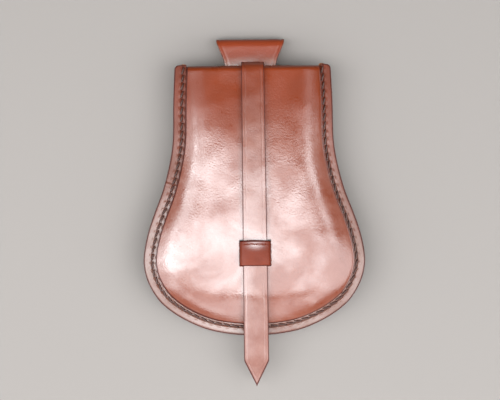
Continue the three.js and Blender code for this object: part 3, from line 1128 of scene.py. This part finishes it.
def keeper_mesh():
    section = keeper_section()

    def vertex(column, row):
        across, up = section[row]
        end = 1 - 2 * column / KEEPER_COLUMNS
        bow = KEEPER_BOW * max(end, 0) * (1 - (across / (KEEPER_WIDTH / 2)) ** 2)
        y = KEEPER_MIDDLE + end * KEEPER_LENGTH / 2 + bow
        crease = 0.2 * hump(abs(end) * KEEPER_LENGTH / 2 - (KEEPER_LENGTH / 2 - 2), 0.5)
        dome = (0.15 - 0.35 * end * end) * (1 - (across / (KEEPER_WIDTH / 2)) ** 4)
        return off_face(front_face, KEEPER_LEAN + across, y, up + (dome - crease if up > 4 else 0))

    bm = shaped_grid(KEEPER_COLUMNS, len(section) - 1, vertex)
    bmesh.ops.recalc_face_normals(bm, faces=bm.faces)
    thicken(bm, KEEPER_LEATHER, KEEPER_ROUNDING, 2)
    mark_edge(bm, lambda x, y, z: max(0, KEEPER_LENGTH / 2 - abs(y - KEEPER_MIDDLE)))
    polish = bm.verts.layers.float.new("polish")
    for vert in bm.verts:
        x, y = vert.co.x / MM - KEEPER_LEAN, vert.co.y / MM - KEEPER_MIDDLE
        above = y - POLISH_PLACE * KEEPER_LENGTH
        vert[polish] = POLISH * hump(x, POLISH_WIDTH) * hump(above, POLISH_HEIGHT)
    return bm


class POUCH_OT_keeper(bpy.types.Operator):
    """Builds the keeper that holds the strap down"""

    bl_idname = "pouch.keeper"
    bl_label = "Keeper"

    def execute(self, context):
        # The keeper's second colour is a painted sheen on its lower part, and its scratches' colour
        material = leather(
            "keeper", colour_of("keeper"), 0.7, linear("#70301f"),
            roughness=0.45, burnish=0.9, sheen_from=-18, sheen_to=-44, wax=0.1, coat_roughness=0.16,
        )
        finish_piece("keeper_leather", keeper_mesh(), material, "keeper_leather", "keeper")
        return {"FINISHED"}


def loop_path():
    """The belt loop's middle line, from behind its sewn end up, over and down the front."""
    upper = LOOP_HIGH.z - LOOP_LEATHER / 2
    lower = LOOP_LEATHER / 2
    radius = (upper - lower) / 2
    turn = LOOP_HIGH.y - radius - lower
    joined = upper - LOOP_LEATHER - GAP
    path = [Vector((LOOP_LOW.y, upper)), Vector((turn, upper))]
    for k in range(1, LOOP_BENDS + 1):
        angle = math.pi * k / LOOP_BENDS
        bend = Vector((math.sin(angle), 1 + math.cos(angle)))
        path.append(Vector((turn + radius * bend.x, lower + radius * bend.y)))
    meet = LOOP_HIGH.y - BELT_DROP
    path.append(Vector((meet, lower)))
    for k in range(1, LOOP_BENDS + 1):
        share = k / LOOP_BENDS
        path.append(Vector((meet - MEET_LENGTH * share, lerp(lower, joined, smooth(share)))))
    path.append(Vector((LOOP_LOW.y, joined)))
    return resampled(list(reversed(path)), 1.0)


def loop_centre(_):
    return (LOOP_HIGH.x + LOOP_LOW.x) / 2


def loop_half(y):
    """Half the belt loop's width at a height."""
    share = read_table(LOOP_SECTIONS, (LOOP_HIGH.y - y) / LOOP_NECK)
    return share * (LOOP_HIGH.x - LOOP_LOW.x) / 2


def read_table(rows, down):
    """The width between the rows of a table of sections."""
    i = int(clamp(sum(row[0] < down for row in rows), 1, len(rows) - 1))
    (down_a, wide_a), (down_b, wide_b) = rows[i - 1], rows[i]
    return lerp(wide_a, wide_b, clamp((down - down_a) / (down_b - down_a)))


def loop_stitches_mesh():
    """A box of stitches that holds the belt loop's sewn end to the back."""
    low, high = LOOP_LOW.y + LOOP_STITCH_INSET, LOOP_HIGH.y - BELT_DROP - MEET_LENGTH - 1
    half = loop_half(low) - LOOP_STITCH_INSET
    surface = LOOP_HIGH.z - 2 * LOOP_LEATHER - GAP + 0.15
    bm = bmesh.new()
    box = ((-half, low), (half, low), (half, high), (-half, high))
    corners = [Vector((loop_centre(0) + x, y)) for x, y in box]
    for a, b in zip(corners, corners[1:] + corners[:1]):
        count = max(1, round((b - a).length / size_mm("stitch_pitch")))
        for k in range(count):
            start, end = a.lerp(b, (k + 0.08) / count), a.lerp(b, (k + 0.92) / count)
            add_stitch(bm, Vector((*start, surface)), Vector((*end, surface)))
    return bm


class POUCH_OT_belt_loop(bpy.types.Operator):
    """Builds the flared belt loop behind the top, and sews it on"""

    bl_idname = "pouch.belt_loop"
    bl_label = "Belt Loop"

    def execute(self, context):
        # The loop's pale second colour is a painted sheen near its lower end, and its scratches'
        # colour
        material = leather(
            "belt loop", colour_of("loop"), 0.8, linear("#b07a62"),
            roughness=0.34, burnish=0.6, sheen_from=119, sheen_to=107,
        )
        bm = strip_mesh(
            loop_path(), LOOP_COLUMNS, LOOP_LEATHER / 2, LOOP_LEATHER, loop_centre, loop_half
        )
        finish_piece("belt_loop_leather", bm, material, "loop_leather", "belt_loop")
        finish_piece("belt_loop_stitches", loop_stitches_mesh(), waxed_thread(), "loop_leather")
        return {"FINISHED"}


# The stage
def add_softbox(name, place, size, watts, target, turn):
    light = bpy.data.lights.new(name, "AREA")
    light.shape = "RECTANGLE"
    light.size, light.size_y = size
    light.energy = watts
    light.color = LIGHT_COLOUR
    obj = bpy.data.objects.new(name, light)
    obj.location = place
    aim = (Vector(target) - obj.location).to_track_quat("-Z", "Y").to_matrix()
    obj.rotation_euler = (aim @ Matrix.Rotation(math.radians(turn), 3, "Z")).to_euler()
    obj.visible_camera = False
    bpy.context.scene.collection.objects.link(obj)


def add_camera():
    data = bpy.data.cameras.new("camera")
    data.lens = data.sensor_width * CAMERA_DISTANCE / (FRAME_WIDTH_PX * PIXEL)
    camera = bpy.data.objects.new("camera", data)
    x = (FRAME_MIDDLE_PX[0] - BODY_MIDDLE_PX) * PIXEL
    y = (LENGTH_MIDDLE_PX - FRAME_MIDDLE_PX[1]) * PIXEL
    camera.location = Vector((x, y, CAMERA_DISTANCE + FRONT_MARGIN)) * MM
    camera.rotation_euler = (0, 0, math.radians(CAMERA_LEAN))
    bpy.context.scene.collection.objects.link(camera)
    bpy.context.scene.camera = camera


class POUCH_OT_stage(bpy.types.Operator):
    """Lays the floor and sets up the lights and the camera"""

    bl_idname = "pouch.stage"
    bl_label = "Stage"

    def execute(self, context):
        scene = context.scene
        # Uncoated paper: pale and even, with almost no sheen
        material, _, shader = new_material("matte studio paper")
        shader.inputs["Base Color"].default_value = colour_of("floor")
        shader.inputs["Roughness"].default_value = 0.9
        shader.inputs["Specular IOR Level"].default_value = 0.2
        bm = bmesh.new()
        bmesh.ops.create_grid(bm, x_segments=1, y_segments=1, size=FLOOR_HALF)
        mesh = bpy.data.meshes.new("floor")
        bm.to_mesh(mesh)
        bm.free()
        mesh.materials.append(material)
        floor = bpy.data.objects.new("floor", mesh)
        scene.collection.objects.link(floor)
        floor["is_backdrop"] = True

        add_camera()
        for name, settings in SOFTBOXES.items():
            add_softbox(name, *settings)

        world = bpy.data.worlds.new("studio")
        world.use_nodes = True
        background = world.node_tree.nodes["Background"]
        background.inputs["Color"].default_value = (1, 1, 1, 1)
        background.inputs["Strength"].default_value = WORLD_STRENGTH
        scene.world = world
        scene.view_settings.view_transform = "Standard"
        return {"FINISHED"}


class POUCH_PT_panel(bpy.types.Panel):
    """The pouch's pieces, sizes and colours in the 3D view's sidebar"""

    bl_label = "Leather Belt Pouch"
    bl_idname = "POUCH_PT_panel"
    bl_space_type = "VIEW_3D"
    bl_region_type = "UI"
    bl_category = "Pouch"

    def draw(self, context):
        for group in (context.scene.pouch_sizes, context.scene.pouch_colours):
            for name in type(group).__annotations__:
                self.layout.prop(group, name)
        for operator in OPERATORS:
            self.layout.operator(operator.bl_idname)


OPERATORS = (
    POUCH_OT_stage,
    POUCH_OT_front_panel,
    POUCH_OT_stitching,
    POUCH_OT_back_and_flap,
    POUCH_OT_closing_strap,
    POUCH_OT_keeper,
    POUCH_OT_belt_loop,
)
CLASSES = (PouchSizes, PouchColours, *OPERATORS, POUCH_PT_panel)


def register():
    for cls in CLASSES:
        bpy.utils.register_class(cls)
    bpy.types.Scene.pouch_sizes = bpy.props.PointerProperty(type=PouchSizes)
    bpy.types.Scene.pouch_colours = bpy.props.PointerProperty(type=PouchColours)


def unregister():
    del bpy.types.Scene.pouch_colours
    del bpy.types.Scene.pouch_sizes
    for cls in reversed(CLASSES):
        bpy.utils.unregister_class(cls)


def main():
    register()
    for operator in OPERATORS:
        group, name = operator.bl_idname.split(".")
        getattr(getattr(bpy.ops, group), name)()
    bpy.context.view_layer.update()
    boxes = {"cad": CAD_BOX, "visual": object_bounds()}
    {name: [list(corner) for corner in box] for name, box in boxes.items()}


if __name__ == "__main__":
    main()
